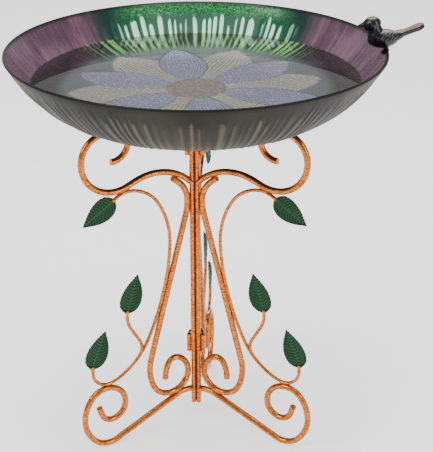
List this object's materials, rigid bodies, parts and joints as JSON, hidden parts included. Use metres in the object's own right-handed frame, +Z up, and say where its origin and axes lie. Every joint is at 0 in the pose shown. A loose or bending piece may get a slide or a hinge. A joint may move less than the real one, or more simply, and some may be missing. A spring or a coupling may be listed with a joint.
{
  "type": "bird bath",
  "caption": "Shallow round glass bird bath bowl with a small bird clipped on its rim, resting on a folding stand of scrolled copper-finished rods with leaves.",
  "frame": {"origin": "on the ground below the middle of the stand's three posts", "axes": "+Z up, +Y along the rear frame, +X to the right seen from the front"},
  "size_m": [0.4896, 0.4504, 0.5549],
  "materials": {
    "copper_rod": "brushed antique copper lacquer",
    "leaf": "satin dark green paint rubbed on the ribs",
    "black_wire": "black",
    "bowl_glass": "fluted glass painted outside, pearly inside",
    "bird_gloss": "glossy dark pearl"
  },
  "bodies": {
    "rear_frame": {"rear_post": "copper_rod", "rear_arm": "copper_rod", "rear_scroll": "copper_rod", "rear_leg": "copper_rod", "rear_vine": "copper_rod", "rear_tendril": "copper_rod", "rear_leaf_top": "leaf", "rear_leaf_mid": "leaf", "rear_leaf_low": "leaf", "hinge_staple_lower": "black_wire", "hinge_staple_upper": "black_wire"},
    "left_frame": {"left_post": "copper_rod", "left_arm": "copper_rod", "left_scroll": "copper_rod", "left_leg": "copper_rod", "left_vine": "copper_rod", "left_tendril": "copper_rod", "left_leaf_top": "leaf", "left_leaf_mid": "leaf", "left_leaf_low": "leaf", "left_knuckle_lower": "copper_rod", "left_knuckle_upper": "copper_rod"},
    "right_frame": {"right_post": "copper_rod", "right_arm": "copper_rod", "right_scroll": "copper_rod", "right_leg": "copper_rod", "right_vine": "copper_rod", "right_tendril": "copper_rod", "right_leaf_top": "leaf", "right_leaf_mid": "leaf", "right_leaf_low": "leaf", "right_knuckle_lower": "copper_rod", "right_knuckle_upper": "copper_rod"},
    "bowl": {"bowl": "bowl_glass", "bird": "bird_gloss", "bird_clip": "bird_gloss"}
  },
  "joints": [
    {"name": "left_fold", "type": "hinge", "parent": "rear_frame", "child": "left_frame", "pos_m": [-0.00912, 0.00123, 0.39], "axis": [0, 0, 1], "range_deg": [-128, 0]},
    {"name": "right_fold", "type": "hinge", "parent": "rear_frame", "child": "right_frame", "pos_m": [0.00912, 0.00123, 0.39], "axis": [0, 0, 1], "range_deg": [0, 112]},
    {"name": "bowl_lift", "type": "slide", "parent": "rear_frame", "child": "bowl", "axis": [0, 0, 1], "range_m": [0, 0.15]}
  ]
}
